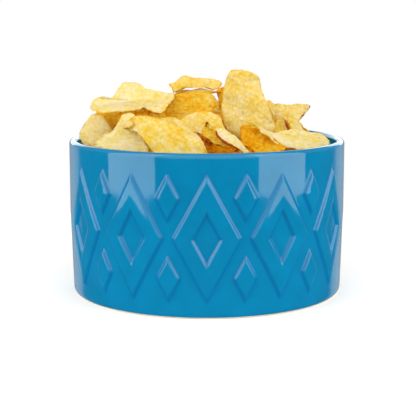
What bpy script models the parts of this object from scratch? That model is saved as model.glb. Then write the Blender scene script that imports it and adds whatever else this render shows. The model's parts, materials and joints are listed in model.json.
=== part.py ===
"""A glazed stoneware bowl heaped with potato crisps.

Metres, +Z up, with the origin on the bowl's axis at the table. The bowl is one
turned solid with raised lozenges on its front and back. The crisps are one solid out to
their uneven outline: a mound with curved slabs standing and lying on it.
"""

import math
from collections import namedtuple

import bmesh
import bpy
from mathutils import Matrix, Vector

MM = 0.001

# The bowl
BOWL_RADIUS = 85.0 * MM
BOWL_HEIGHT = 94.8 * MM
WALL = 5.0 * MM
FLOOR_TOP = 6.5 * MM
INNER_CORNER = 9.0 * MM
TAPER_TOP = 52.0 * MM
FOOT_RADIUS = 83.4 * MM
FOOT_CORNER = 3.5 * MM
FOOT_RING_INNER = 71.0 * MM
FOOT_RECESS = 1.6 * MM
TURNED_STEPS = 56

# The raised frieze. It has room for twelve lozenges round the wall, and the middle
# places of each side stay plain.
RELIEF = 1.7 * MM
RELIEF_ROOT = 1.5 * MM
RELIEF_SPARE = 1.0 * MM
FRIEZE_BOTTOM = 11.5 * MM
FRIEZE_TOP = 81.5 * MM
FRIEZE_COUNT = 12
LOZENGE_WIDTH = 38.0 * MM
LOZENGE_BAND = 9.5 * MM
STUD_WIDTH = 13.0 * MM
STUD_HEIGHT = 24.0 * MM
CUTTER_REACH = 6.0 * MM
# These turns keep the facets' edges of the wall and of the relief off each other.
BOWL_FACET_TURN = math.radians(1.1)
RELIEF_FACET_TURN = math.radians(3.9)

# The mound under the crisps, and the space that the heap may fill
CLEARANCE = 0.3 * MM
HEAP_SIDE = 84.0 * MM
HEAP_CROWN = 104.0 * MM
HEAP_STEPS = 28
CROWN_STEPS = 5
ROOM_TOP = 160.0 * MM
ROOM_FLARE = 12.0 * MM

# Crisps as slabs
CRISP_THICKNESS = 2.2 * MM
EDGE_WAVE = 1.0 * MM
SMALL_LENGTH = 30.0
GRID_OF_SMALL = 4
GRID_OF_LARGE = 5
FLAT_WITHIN = math.radians(5)
WELD = 0.01 * MM

# One crisp, in mm and degrees. The turn is its lean towards the front, its heading
# and its spin in its own plane. The bends are how far its length and its width curl.
# The outline scales an ellipse at equal angles, counter-clockwise from the right end.
Crisp = namedtuple("Crisp", "name centre size turn bends outline")

PLACED_CRISPS = (
    Crisp("left_wall", (-66, -20, 98), (34, 34), (74, -42, 0), (-50, -30),
          (0.95, 0.8, 0.85, 0.9, 1, 1, 1, 1)),
    Crisp("left_inner", (-55, -12, 105), (24, 28), (80, -10, 0), (40, 20),
          (1, 1, 1, 1, 0.9, 0.9, 1, 1)),
    Crisp("left_low", (-47, -47, 101), (42, 34), (62, -32, 10), (-20, -10),
          (1, 1, 1, 0.8, 0.9, 1, 1, 1)),
    Crisp("left_saddle", (-44, -24, 120), (52, 38), (26, 2, -2), (-10, 40),
          (0.95, 0.8, 0.72, 0.9, 0.8, 0.7, 1, 1.05, 1, 0.95, 1, 1.05)),
    Crisp("front_large", (-23, -64, 101), (54, 32), (58, -6, -26), (-40, -15),
          (0.95, 1, 0.8, 0.8, 1, 0.8, 1, 1)),
    Crisp("front_second", (-19, -55, 99), (44, 30), (60, -4, -25), (-25, -10),
          (1, 1, 0.9, 0.95, 1, 1, 1, 1)),
    Crisp("middle", (-7, -26, 109), (38, 34), (72, 6, -10), (-20, 15),
          (1, 0.9, 0.95, 1.05, 1, 1, 1, 1)),
    Crisp("top_roll", (-6, -4, 129), (34, 17), (34, 0, -2), (-6, -50),
          (1, 0.95, 0.8, 1.05, 1, 1.1, 0.9, 0.9)),
    Crisp("top_flat", (-6, -5, 123.5), (31, 26), (-4, 0, 4), (-25, 10),
          (1, 1, 1, 1, 1, 1, 1, 1)),
    Crisp("standing", (23, -26, 117), (43, 32), (84, 4, 95), (-18, -35),
          (0.97, 0.9, 0.9, 1, 1, 1.15, 0.95, 0.93)),
    Crisp("standing_back", (8, -8, 114), (34, 14), (84, 50, 86), (20, 10),
          (1, 1, 1, 1, 1, 1, 1, 1)),
    Crisp("right_wing", (49, 0, 107), (36, 22), (74, 12, 16), (-25, -15),
          (1, 1.05, 0.8, 1, 1, 1, 1, 0.6)),
    Crisp("right_curl", (45, -9, 102), (20, 14), (70, -20, 70), (80, 40),
          (1, 1, 1, 1, 1, 1, 1, 1)),
    Crisp("right_saddle", (50, -36, 98.5), (62, 32), (45, 32, -14), (10, -25),
          (0.95, 0.85, 0.65, 1.1, 1.05, 1, 1, 1)),
    Crisp("right_dark", (30, -52, 97), (26, 28), (70, -10, 0), (50, 20),
          (1, 1, 1, 0.95, 1, 1, 1, 1)),
    Crisp("edge_on", (15, -60, 99), (28, 17), (45, -20, -34), (30, 20),
          (1, 1, 1, 1, 1, 1, 1, 1)),
    Crisp("gold_tip", (4, -54, 101), (24, 20), (66, -10, -30), (20, 10),
          (1, 1, 1, 1.4, 1, 1, 1, 1)),
    Crisp("brown_low", (9, -60, 93), (36, 28), (50, 0, -22), (30, 10),
          (1, 1, 0.9, 1, 1, 1, 1, 1)),
)

# Rings of crisps that lean outwards over the far side, in mm and degrees
Ring = namedtuple("Ring", "count radius height first last lean size")

LEANING_RINGS = (
    Ring(7, 61, 94, 4, 176, 58, (46, 35)),
    Ring(4, 38, 102, 22, 160, 40, (50, 37)),
    Ring(2, 15, 106, 60, 150, 18, (46, 38)),
)
LEANING_OUTLINE = (1.0, 0.9, 1.1, 0.95, 1.0, 1.05, 0.85, 1.05)
LEANING_BENDS = (-15, -25)
BEND_SPREAD = 35
LEAN_SPREAD = 14
TURN_SPREAD = 18
SPIN_SPREAD = 35
HEIGHT_SPREAD = 2
SIZE_SPREAD = 0.15
GOLDEN_STEP = 0.618


def clear_scene():
    for obj in list(bpy.data.objects):
        bpy.data.objects.remove(obj, do_unlink=True)


def new_collection(name):
    collection = bpy.data.collections.new(name)
    bpy.context.scene.collection.children.link(collection)
    return collection


def new_material(name, colour, roughness):
    material = bpy.data.materials.new(name)
    material.use_nodes = True
    shader = material.node_tree.nodes["Principled BSDF"]
    shader.inputs["Base Color"].default_value = (*colour, 1)
    shader.inputs["Roughness"].default_value = roughness
    return material


def new_object(name, mesh, collection):
    obj = bpy.data.objects.new(name, mesh)
    collection.objects.link(obj)
    return obj


def mark_as_helper(obj):
    obj.hide_render = True
    obj.display_type = "WIRE"


def add_boolean(obj, operation, other, solver="EXACT"):
    """Joins or cuts obj with another object, or with every object of a collection."""
    boolean = obj.modifiers.new(operation.lower(), "BOOLEAN")
    boolean.operation = operation
    boolean.solver = solver
    if isinstance(other, bpy.types.Collection):
        boolean.operand_type = "COLLECTION"
        boolean.collection = other
    else:
        boolean.object = other


def arc(centre, radius, start, end, steps):
    """Points of a round corner in the profile's plane, from start to end in degrees."""
    points = []
    for step in range(steps + 1):
        angle = math.radians(start + (end - start) * step / steps)
        points.append((centre[0] + radius * math.cos(angle), centre[1] + radius * math.sin(angle)))
    return points


def turned(name, profile, steps, collection):
    """A solid turned about the Z axis; the profile runs down its outer side."""
    mesh = bpy.data.meshes.new(name)
    points = [(radius, 0, height) for radius, height in profile]
    edges = [(index, index + 1) for index in range(len(points) - 1)]
    is_ring = profile[0][0] > 0
    if is_ring:
        edges.append((len(points) - 1, 0))
    mesh.from_pydata(points, edges, [])
    obj = new_object(name, mesh, collection)
    screw = obj.modifiers.new("turn", "SCREW")
    screw.axis = "Z"
    screw.steps = steps
    screw.render_steps = steps
    screw.use_merge_vertices = True
    screw.merge_threshold = WELD
    screw.use_smooth_shade = True
    return obj


def wall_radius(height):
    """The outer wall's radius: straight above TAPER_TOP, drawn in a little towards the foot."""
    down = max(0.0, 1 - height / TAPER_TOP)
    return BOWL_RADIUS - (BOWL_RADIUS - FOOT_RADIUS) * down


def bowl_profile():
    """Floor, inner corner, lip, outer wall, foot corner, foot ring and the recess inside it."""
    inner = BOWL_RADIUS - WALL
    lip = WALL / 2
    foot_side = wall_radius(FOOT_CORNER)
    profile = [(0, FLOOR_TOP)]
    profile += arc((inner - INNER_CORNER, FLOOR_TOP + INNER_CORNER), INNER_CORNER, -90, 0, 3)
    profile += arc((BOWL_RADIUS - lip, BOWL_HEIGHT - lip), lip, 180, 0, 6)
    profile += [(BOWL_RADIUS, TAPER_TOP)]
    profile += arc((foot_side - FOOT_CORNER, FOOT_CORNER), FOOT_CORNER, 0, -90, 3)
    profile += [(FOOT_RING_INNER, 0), (FOOT_RING_INNER - FOOT_RECESS, FOOT_RECESS), (0, FOOT_RECESS)]
    return profile


def lozenge(width, height):
    return [(width / 2, 0), (0, height / 2), (-width / 2, 0), (0, -height / 2)]


def prism(outlines, reach):
    """A flat outline, with its holes, extruded to both sides of its plane."""
    curve = bpy.data.curves.new("outline", "CURVE")
    curve.dimensions = "2D"
    curve.fill_mode = "BOTH"
    curve.extrude = reach
    for outline in outlines:
        spline = curve.splines.new("POLY")
        spline.points.add(len(outline) - 1)
        for point, (across, up) in zip(spline.points, outline):
            point.co = (across, up, 0, 1)
        spline.use_cyclic_u = True
    holder = new_object("outline", curve, bpy.context.scene.collection)
    graph = bpy.context.evaluated_depsgraph_get()
    mesh = bpy.data.meshes.new_from_object(holder.evaluated_get(graph))
    bpy.data.objects.remove(holder, do_unlink=True)
    bpy.data.curves.remove(curve)
    return mesh


def facing_out(azimuth, radius, height):
    """A place on the wall: x along it, y up it and z out of it."""
    out = Vector((math.cos(azimuth), math.sin(azimuth), 0))
    along = Vector((-math.sin(azimuth), math.cos(azimuth), 0))
    place = Matrix((along, Vector((0, 0, 1)), out)).transposed().to_4x4()
    place.translation = out * radius + Vector((0, 0, height))
    return place


def frieze_prisms(collection):
    """Tall open lozenges on the front and back, with small solid ones between them."""
    height = FRIEZE_TOP - FRIEZE_BOTTOM
    middle = (FRIEZE_TOP + FRIEZE_BOTTOM) / 2
    slant = math.hypot(LOZENGE_WIDTH, height) / height
    inner_width = LOZENGE_WIDTH - 2 * LOZENGE_BAND * slant
    inner_height = inner_width * height / LOZENGE_WIDTH
    ring = prism([lozenge(LOZENGE_WIDTH, height), lozenge(inner_width, inner_height)], CUTTER_REACH)
    stud = prism([lozenge(STUD_WIDTH, STUD_HEIGHT)], CUTTER_REACH)
    step = 2 * math.pi / FRIEZE_COUNT
    low, high = FRIEZE_BOTTOM + STUD_HEIGHT / 2, FRIEZE_TOP - STUD_HEIGHT / 2
    shapes = bmesh.new()
    for index in range(FRIEZE_COUNT):
        azimuth = -math.pi / 2 + index * step
        to_side = index % (FRIEZE_COUNT // 2) - FRIEZE_COUNT // 4
        shown = [(ring, 0, middle)] if to_side != 0 else []
        if to_side not in (-1, 0):
            shown += [(stud, step / 2, low), (stud, step / 2, high)]
        for mesh, turn, level in shown:
            copy = mesh.copy()
            copy.transform(facing_out(azimuth + turn, BOWL_RADIUS, level))
            shapes.from_mesh(copy)
            bpy.data.meshes.remove(copy)
    bmesh.ops.remove_doubles(shapes, verts=shapes.verts, dist=WELD)
    bmesh.ops.recalc_face_normals(shapes, faces=shapes.faces)
    joined = bpy.data.meshes.new("frieze_prisms")
    shapes.to_mesh(joined)
    shapes.free()
    prisms = new_object("frieze_prisms", joined, collection)
    mark_as_helper(prisms)
    return prisms


def frieze_relief(collection):
    """The frieze's curved plates: a ring that follows the wall, kept where the prisms are."""
    levels = (FRIEZE_TOP + RELIEF_SPARE, TAPER_TOP, FRIEZE_BOTTOM - RELIEF_SPARE)
    outside = [(wall_radius(level) + RELIEF, level) for level in levels]
    inside = [(wall_radius(level) - RELIEF_ROOT, level) for level in reversed(levels)]
    relief = turned("frieze_relief", outside + inside, TURNED_STEPS, collection)
    relief.rotation_euler.z = RELIEF_FACET_TURN
    add_boolean(relief, "INTERSECT", frieze_prisms(collection))
    mark_as_helper(relief)
    return relief


def build_bowl(parts, helpers):
    bowl = turned("bowl", bowl_profile(), TURNED_STEPS, parts)
    bowl.rotation_euler.z = BOWL_FACET_TURN
    add_boolean(bowl, "UNION", frieze_relief(helpers), solver="MANIFOLD")
    bowl.data.materials.append(new_material("blue_glaze", (0.01, 0.2, 0.48), 0.12))


def outline_factor(factors, angle):
    """The outline's factor at an angle: a smooth closed curve through equally spaced factors."""
    count = len(factors)
    place = (angle / (2 * math.pi)) % 1 * count
    index = int(place) % count
    part = place - int(place)
    before, here, after, beyond = (factors[(index + step) % count] for step in (-1, 0, 1, 2))
    bow = (2 * before - 5 * here + 4 * after - beyond) * part
    sway = (3 * (here - after) + beyond - before) * part**2
    return here + 0.5 * part * (after - before + bow + sway)


def along_arc(distance, span, degrees):
    """Forward and up of a point on an arc that turns by degrees over the span, and its tilt."""
    if degrees == 0 or distance == 0:
        return distance, 0.0, 0.0
    tilt = math.radians(degrees) * distance / span
    radius = distance / tilt
    return radius * math.sin(tilt), radius * (1 - math.cos(tilt)), tilt


def crisp_point(crisp, across, up, phase):
    """A point of a crisp before it is placed, in mm, from its place in the unit disc."""
    length, width = crisp.size
    reach = math.hypot(across, up)
    angle = math.atan2(up, across)
    factor = outline_factor(crisp.outline, angle)
    forward, rise, tilt = along_arc(across * factor * length / 2, length, crisp.bends[0])
    side, lift, _ = along_arc(up * factor * width / 2, width, crisp.bends[1])
    lift += EDGE_WAVE / MM * reach**3 * math.sin(3 * angle + phase)
    return Vector((forward - math.sin(tilt) * lift, side, rise + math.cos(tilt) * lift))


def crisp_slab(crisp, phase, collection):
    """A crisp as a curved slab: a square grid drawn out into a disc, bent and placed."""
    lean, heading, spin = (math.radians(angle) for angle in crisp.turn)
    turn = Matrix.Rotation(heading, 3, "Z") @ Matrix.Rotation(lean, 3, "X") @ Matrix.Rotation(spin, 3, "Z")
    grid = GRID_OF_LARGE if crisp.size[0] > SMALL_LENGTH else GRID_OF_SMALL
    sheet = bmesh.new()
    bmesh.ops.create_grid(sheet, x_segments=grid, y_segments=grid, size=1)
    for vert in sheet.verts:
        a, b = vert.co.x, vert.co.y
        across, up = a * math.sqrt(1 - b * b / 2), b * math.sqrt(1 - a * a / 2)
        vert.co = (turn @ crisp_point(crisp, across, up, phase) + Vector(crisp.centre)) * MM
    mesh = bpy.data.meshes.new(crisp.name)
    sheet.to_mesh(mesh)
    sheet.free()
    slab = new_object(crisp.name, mesh, collection)
    solidify = slab.modifiers.new("thickness", "SOLIDIFY")
    solidify.thickness = CRISP_THICKNESS
    solidify.offset = 0
    mark_as_helper(slab)


def uneven(index):
    """A value from -1 to 1 that jumps about evenly from one index to the next."""
    return 2 * (index * GOLDEN_STEP % 1) - 1


def leaning_crisp(ring, index, name, seed):
    """A crisp of a ring, leaning outwards, with a size and a turn of its own."""
    odd = uneven(seed)
    azimuth = ring.first + (ring.last - ring.first) * index / (ring.count - 1)
    angle = math.radians(azimuth)
    height = ring.height + HEIGHT_SPREAD * odd
    centre = (ring.radius * math.cos(angle), ring.radius * math.sin(angle), height)
    size = (ring.size[0] * (1 + SIZE_SPREAD * odd), ring.size[1] * (1 - SIZE_SPREAD * odd))
    heading = azimuth + 90 + TURN_SPREAD * uneven(3 * index)
    turn = (ring.lean + LEAN_SPREAD * odd, heading, SPIN_SPREAD * odd)
    bends = (LEANING_BENDS[0] - BEND_SPREAD * odd, LEANING_BENDS[1])
    return Crisp(name, centre, size, turn, bends, LEANING_OUTLINE)


def all_crisps():
    crisps = list(PLACED_CRISPS)
    for number, ring in enumerate(LEANING_RINGS):
        for index in range(ring.count):
            name = f"leaning_{number}_{index}"
            crisps.append(leaning_crisp(ring, index, name, index + 5 * number + 1))
    return crisps


def mound_profile():
    """The mound under the crisps: high in the middle, falling to the wall."""
    side = BOWL_RADIUS - WALL - CLEARANCE
    foot = FLOOR_TOP + CLEARANCE
    corner = INNER_CORNER - CLEARANCE
    profile = []
    for step in range(CROWN_STEPS + 1):
        fall = math.cos(math.pi / 2 * step / CROWN_STEPS) ** 2
        profile.append((side * step / CROWN_STEPS, HEAP_SIDE + (HEAP_CROWN - HEAP_SIDE) * fall))
    return profile + arc((side - corner, foot + corner), corner, 0, -90, 3) + [(0, foot)]


def room_profile():
    """The space that the heap may fill: clear of the wall, and open above the lip."""
    side = BOWL_RADIUS - WALL - CLEARANCE
    wide = side + ROOM_FLARE
    above = BOWL_HEIGHT + CLEARANCE
    return [(0, ROOM_TOP), (wide, ROOM_TOP), (wide, above), (side, above), (side, 0), (0, 0)]


def shells_of(shapes):
    """The separate closed shells of a mesh, each as a list of faces."""
    left = set(shapes.faces)
    shells = []
    while left:
        shell = [left.pop()]
        for face in shell:
            near = {other for edge in face.edges for other in edge.link_faces} & left
            left -= near
            shell.extend(near)
        shells.append(shell)
    return shells


def volume_of(shell):
    """Six times the volume inside a shell of triangles, negative for a closed-in pocket."""
    return sum(face.verts[0].co.dot(face.verts[1].co.cross(face.verts[2].co)) for face in shell)


def finish_heap(heap):
    """Makes the joined crisps a plain mesh: nearly flat faces merged, and no pockets left inside."""
    graph = bpy.context.evaluated_depsgraph_get()
    mesh = bpy.data.meshes.new_from_object(heap.evaluated_get(graph))
    heap.modifiers.clear()
    heap.data = mesh
    shapes = bmesh.new()
    shapes.from_mesh(mesh)
    bmesh.ops.dissolve_limit(shapes, angle_limit=FLAT_WITHIN, verts=shapes.verts, edges=shapes.edges)
    bmesh.ops.triangulate(shapes, faces=shapes.faces)
    pockets = [shell for shell in shells_of(shapes) if volume_of(shell) < 0]
    bmesh.ops.delete(shapes, geom=[face for shell in pockets for face in shell], context="FACES")
    shapes.to_mesh(mesh)
    shapes.free()


def build_heap(parts, helpers):
    slabs = bpy.data.collections.new("crisp_slabs")
    helpers.children.link(slabs)
    for phase, crisp in enumerate(all_crisps()):
        crisp_slab(crisp, phase, slabs)
    room = turned("room", room_profile(), HEAP_STEPS, helpers)
    mark_as_helper(room)
    heap = turned("crisps_heap", mound_profile(), HEAP_STEPS, parts)
    add_boolean(heap, "UNION", slabs)
    add_boolean(heap, "INTERSECT", room)
    finish_heap(heap)
    heap.data.materials.clear()
    heap.data.materials.append(new_material("fried_potato", (0.8, 0.52, 0.15), 0.6))


def main():
    clear_scene()
    parts = new_collection("bowl_of_crisps")
    helpers = new_collection("helpers")
    build_bowl(parts, helpers)
    build_heap(parts, helpers)


main()
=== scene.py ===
"""The looks of a glazed stoneware bowl heaped with potato crisps, built around its CAD frame.

Metres, +Z up, with the origin on the bowl's axis at the table. The bowl is a turned
shell with a raised frieze, and the heap is many thin fried slices over a dark core.
"""

import json
import math
from collections import namedtuple

import bmesh
import bpy
import numpy as np
from mathutils import Matrix, Vector

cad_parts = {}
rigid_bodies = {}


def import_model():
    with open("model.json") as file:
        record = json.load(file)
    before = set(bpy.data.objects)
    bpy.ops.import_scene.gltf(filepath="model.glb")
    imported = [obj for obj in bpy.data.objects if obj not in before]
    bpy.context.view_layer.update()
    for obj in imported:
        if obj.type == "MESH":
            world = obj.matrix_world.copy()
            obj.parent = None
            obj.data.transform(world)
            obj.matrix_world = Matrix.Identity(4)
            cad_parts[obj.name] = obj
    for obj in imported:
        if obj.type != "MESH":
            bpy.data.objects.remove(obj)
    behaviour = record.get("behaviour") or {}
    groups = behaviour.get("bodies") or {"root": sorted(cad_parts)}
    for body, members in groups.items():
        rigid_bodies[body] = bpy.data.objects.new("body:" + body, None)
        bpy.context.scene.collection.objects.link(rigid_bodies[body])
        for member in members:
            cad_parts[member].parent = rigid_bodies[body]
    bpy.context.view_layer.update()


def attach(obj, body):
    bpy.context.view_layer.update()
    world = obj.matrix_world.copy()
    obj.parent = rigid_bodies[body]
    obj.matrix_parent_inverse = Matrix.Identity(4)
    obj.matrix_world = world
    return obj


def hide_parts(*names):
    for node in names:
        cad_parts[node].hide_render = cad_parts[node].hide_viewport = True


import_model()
BODY = "root"
MM = 0.001
WHITE = "#ffffff"

# The bowl, as the CAD has it
BOWL_RADIUS = 85.0 * MM
BOWL_HEIGHT = 94.8 * MM
WALL = 5.0 * MM
INNER_RADIUS = BOWL_RADIUS - WALL
FLOOR_TOP = 6.5 * MM
INNER_CORNER = 9.0 * MM
TAPER_TOP = 52.0 * MM
FOOT_RADIUS = 83.4 * MM
FOOT_CORNER = 3.5 * MM
FOOT_RING_INNER = 71.0 * MM
FOOT_RECESS = 1.6 * MM
BARE_FOOT_HEIGHT = 0.9 * MM
INNER_LEVELS = (0.4, 0.65, 0.85)
INNER_STEPS = 5
LIP_STEPS = 12
FOOT_STEPS = 8
TURNED_MERGE = 0.01 * MM

# The raised frieze. It has room for twelve lozenges round the wall, and the middle
# places of each side stay plain. The turned wall's cells have the slope of the
# lozenges' sides, so that the sides run along the cells' diagonals.
RELIEF_BLEND = 0.6 * MM
FRIEZE_BOTTOM = 11.5 * MM
FRIEZE_TOP = 81.5 * MM
FRIEZE_MIDDLE = (FRIEZE_TOP + FRIEZE_BOTTOM) / 2
FRIEZE_COUNT = 12
PITCH = 2 * math.pi / FRIEZE_COUNT
OPEN_ONES_END = 2.5 * PITCH
SOLID_ONES_END = 2 * PITCH
LOZENGE_WIDTH = 38.0 * MM
LOZENGE_HEIGHT = FRIEZE_TOP - FRIEZE_BOTTOM
STUD_WIDTH = 13.0 * MM
STUD_HEIGHT = 24.0 * MM
CELLS_PER_LOZENGE = 66
TURNED_STEPS = FRIEZE_COUNT * CELLS_PER_LOZENGE
ROW_HEIGHT = 2 * math.pi * BOWL_RADIUS / TURNED_STEPS * LOZENGE_HEIGHT / LOZENGE_WIDTH
FRIEZE = {
    "Relief": 1.6 * MM, "Edge Width": 2.0 * MM, "Crown": 0.15 * MM,
    "Middle": FRIEZE_MIDDLE, "Band": 9.5 * MM,
}

# The glaze and the clay. A finer pattern has a larger scale. The glaze pools beside the
# relief: the places are mm inside the relief's sides, so those outside are negative.
MOTTLE_SCALE = 60.0
PEEL_SCALE = 140.0
PEEL_DEPTH = 0.4 * MM
POOL_START, POOL_PEAK, POOL_END = -2.2, -0.4, 0.6
SAND_SCALE = 1500.0
SAND_DEPTH = 0.1 * MM

# The core under the crisps
CORE_SIDE = 76.0 * MM
CORE_CROWN = 94.0 * MM
CORE_RADIUS = 77.0 * MM
CORE_BOTTOM = 60.0 * MM
CORE_STEPS = 96
CORE_RINGS = 36
LUMP_HEIGHT = 7.0 * MM
LUMP_SCALE = 90.0
CRUMB_SCALE = 300.0

# The shape of a crisp, in mm where no unit is given
EDGE_WAVE = 0.5
EDGE_WAVES = 3
RAGGED = 0.006
RAGGED_WAVES = (22, 37)
BEND_SPAN = 40.0
NEARLY_FLAT = 0.01
CURVE_STEPS = 12
RIM_BAND = 2.2
MARK_REACH = 1.2
PATTERN_GAP = 37.0
HEAP_RADIUS = 78.4
LIP_LEVEL = 96.0
LIP_FLARE = 1.6
CELLS_OF_PLACED = 60
CELLS_OF_LEANING = 44
CELLS_OF_SPARE = 20

# What frying does to a slice: waves of three sizes ruffle it, least in its stiff middle,
# and blisters rise in a pattern's cells. A blister's foot and top are distances from its
# cell's centre, and only cells with a draw past the rarity have one. The rim starts at a
# share of the way out, and the slice thins over it to a share of its thickness.
FRYING = {
    "Thickness": 1.1 * MM,
    "Ruffle Height": 5 * MM, "Ruffle Width": 15 * MM,
    "Pucker Height": 1.2 * MM, "Pucker Width": 4.5 * MM,
    "Wrinkle Height": 1.0 * MM, "Wrinkle Width": 3 * MM,
    "Blister Height": 0.7 * MM, "Blister Width": 7 * MM,
}
WRINKLE_STRETCH = 3
STIFF_MIDDLE = 0.35
BLISTER_FOOT, BLISTER_TOP = 0.42, 0.05
BLISTER_RARITY = (0.45, 0.6)
RIM_START = 0.93
RIM_THICKNESS = 0.5
SEAM_MERGE = 0.005 * MM

# The colour of a slice, by how dark each place was fried, with painted shade added in its hollows
# and on crisps that lie in shadow: 0 is palest and 1 is brown
CLOUD_SIZE = 9 * MM
GRAIN_SIZE = 1.8 * MM
BUBBLE_SIZE = 2.4 * MM
STREAK_SIZE = 1.3 * MM
STREAK_STRETCH = 5
BASE_SHADE = -0.76
RIM_DARKENING = 0.15
FRIED_COLOURS = ((0.0, "#f8f3ca"), (0.2, "#f6ea95"), (0.4, "#f4da50"), (0.6, "#f2be16"),
                 (0.8, "#ea9606"), (1.0, "#963c04"))
# The brown of scorched edges and spots; the spots that stand for shade use it as painted shade.
SCORCH_AND_SHADE_COLOUR = "#b4520a"
SCORCH_PATCHINESS = 0.8
SCORCH_START, SCORCH_FULL = 0.65, 1.25
LIGHT_THROUGH = 0.45
LIGHT_THROUGH_COLOUR = "#feea68"
SKIN_DEPTH = 0.5 * MM

# One crisp, in mm and degrees. The turn is its lean towards the front, its heading and
# its tilt about its own upright. The outline's points lie in its own plane, across and
# up from the centre. The bends are how far it curls across and up over BEND_SPAN.
# A fold is (angle, offset, turn, run): what lies past the offset at that angle turns
# up over the run. Tone is how dark it was fried, and a high tone on a crisp that lies in
# shadow is painted shade. A scorched edge is (across, up, radius, depth), browned within
# the radius, and so is a spot, which may lie anywhere; some spots are painted shade
# rather than browning. The grain is the way its wrinkles run.
Crisp = namedtuple(
    "Crisp",
    "name centre turn outline bends folds tone scorched spots grain",
    defaults=((0, 0), (), 0.2, (), (), 0),
)

CRISPS_LEFT = (
    Crisp("left_wall", (-67.5, -20, 101.5), (74, -25, 0),
          ((-10, -6), (-10.3, -1), (-8, 4.5), (-3.5, 9.5), (0.5, 9.3), (4, 8.8), (8.7, 4.3),
           (11.3, 0.5), (10.7, -6), (6.5, -12), (-3.5, -12)),
          (-45, -30), tone=0.12, scorched=((-10, 1, 9, 0.6),)),
    # Painted shade: its high tone darkens it where it lies in the saddle's shadow.
    Crisp("left_inner", (-59, -12, 105.5), (80, -10, 0),
          ((-9, 0), (-8, 7), (0, 10), (8, 8), (10, 0), (6, -9), (-5, -10)), (30, 20), tone=0.85),
    Crisp("left_low", (-48, -50, 102.5), (58, -20, 0),
          ((-3.7, 12), (0.5, 13.8), (3.7, 12.5), (7.4, 7), (10.5, 1), (13.3, -4), (17, -9),
           (15, -14), (-2.5, -14.5), (-14.8, -12.6), (-18.2, -8.2), (-14.8, -3.2), (-9.3, 0.3),
           (-6.2, 3.8), (-4.3, 8.2)), (-20, -25), tone=0.15, scorched=((11, -9, 6, 0.9),)),
    Crisp("left_saddle", (-44.5, -24, 119.5), (55, -4, 0),
          ((-5.4, 12.5), (1.2, 12.5), (4.2, 11.6), (7.8, 8.6), (13.8, 7), (20.4, 5.6), (25, 4.6),
           (24.5, 0), (22, -7.5), (19, -14.5), (16, -15), (12, -13.5), (8, -10.5), (4.5, -13.8),
           (1.4, -17), (-4.6, -17.8), (-11.3, -17.7), (-17.3, -16.8), (-21.5, -14), (-23.8, -9),
           (-24.4, -2), (-22.5, 2), (-18, 1.6), (-13.8, 1.6), (-11.4, 3.6), (-9.6, 7.6),
           (-7.5, 11)), (-6, 0), ((-90, -1, 38, 3), (-93, 15.5, -35, 2)), tone=0.1),
    # Painted shade: its high tone and its wide spot darken it under the saddle's shadow.
    Crisp("under_saddle", (-36, -34, 110.5), (72, 0, 0),
          ((-17, -1), (-13, 4), (-3, 6), (8, 5), (12, 0), (6, -7), (-12, -7)),
          (20, 10), tone=0.95, scorched=((2, 6, 6, 1.2),), spots=((0, 4, 14, 0.5),)),
    Crisp("front_large", (-23, -64, 101), (58, -6, 0),
          ((-30, 9.5), (-29.5, 13.5), (-22, 15), (-16, 15.6), (-10, 14.8), (-4.5, 12.8),
           (1, 10.4), (9, 7), (18, 1), (23, -8), (20, -16), (4, -19), (-4, -11), (-8.5, -6.4),
           (-12.2, -1.6), (-16, 2.8), (-20.2, 7.2), (-26, 8.6)),
          (-30, -25), ((165, 24.6, 230, 6),), tone=0.42, scorched=((-27, 8.5, 3.5, 0.6),),
          grain=-35),
    Crisp("front_tip", (-5, -62, 97), (60, 8, 0),
          ((-6, 5), (-3, 8), (1, 5), (5, -5), (2, -10), (-6, -8)), (-10, -20), tone=0.15),
    Crisp("front_second", (-19, -56, 100), (60, -4, 0),
          ((-9.6, 12.4), (-5, 13.7), (-1, 14), (3, 12.4), (7, 9.3), (10.5, 6.2), (14, 2.5),
           (18, -5), (12, -14), (-6, -14), (-18, -6), (-17, 4)), (-20, -20), tone=0.35),
    # Painted shade: its high tone and its two spots darken it where the crisps above shade it.
    Crisp("middle", (-7, -26, 109), (72, 0, 0),
          ((-13.2, 14), (-7.2, 15.2), (-3, 15.8), (3, 16.2), (7.7, 16.2), (11.3, 13.8),
           (13.7, 10.6), (16, 5), (17, -1), (10, -12), (-6, -14), (-18, -8), (-21, 3),
           (-16.2, 8.8)), (-25, 15), tone=0.8, spots=((12, 5, 8, 0.5), (-14, 9, 7, 0.3))),
    Crisp("middle_front", (-2, -38, 106), (62, 0, 0),
          ((-13, 4), (-9, 7.6), (-3, 9.2), (3.1, 9.1), (6.8, 7.3), (9.8, 5.3), (11.4, 1.5),
           (13, -4), (9, -14), (-8, -12), (-16, -4)), (-15, -20), tone=0.4, grain=-30),
    Crisp("top_roll", (-6.8, -4, 129), (60, 0, 0),
          ((-16.4, -1), (-12.9, 0.6), (-9.2, 4), (-5.5, 4.8), (-0.6, 3.2), (8, 3.8), (12.3, 3),
           (16, 0), (13, -4.2), (5.5, -3), (-3, -3.2), (-8.6, -4), (-13.4, -6.5), (-14.6, -3.7)),
          (-10, -100), tone=0.42),
    # Painted shade: its deeper tone keeps it golden in the roll's shadow.
    Crisp("top_flat", (-6.5, -6, 123.6), (5, 0, -6),
          ((-15, 0), (-12, 6), (0, 10), (12, 7), (15, 0), (10, -8), (0, -10), (-11, -7)),
          (-34, 0), tone=0.65),
)

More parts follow.
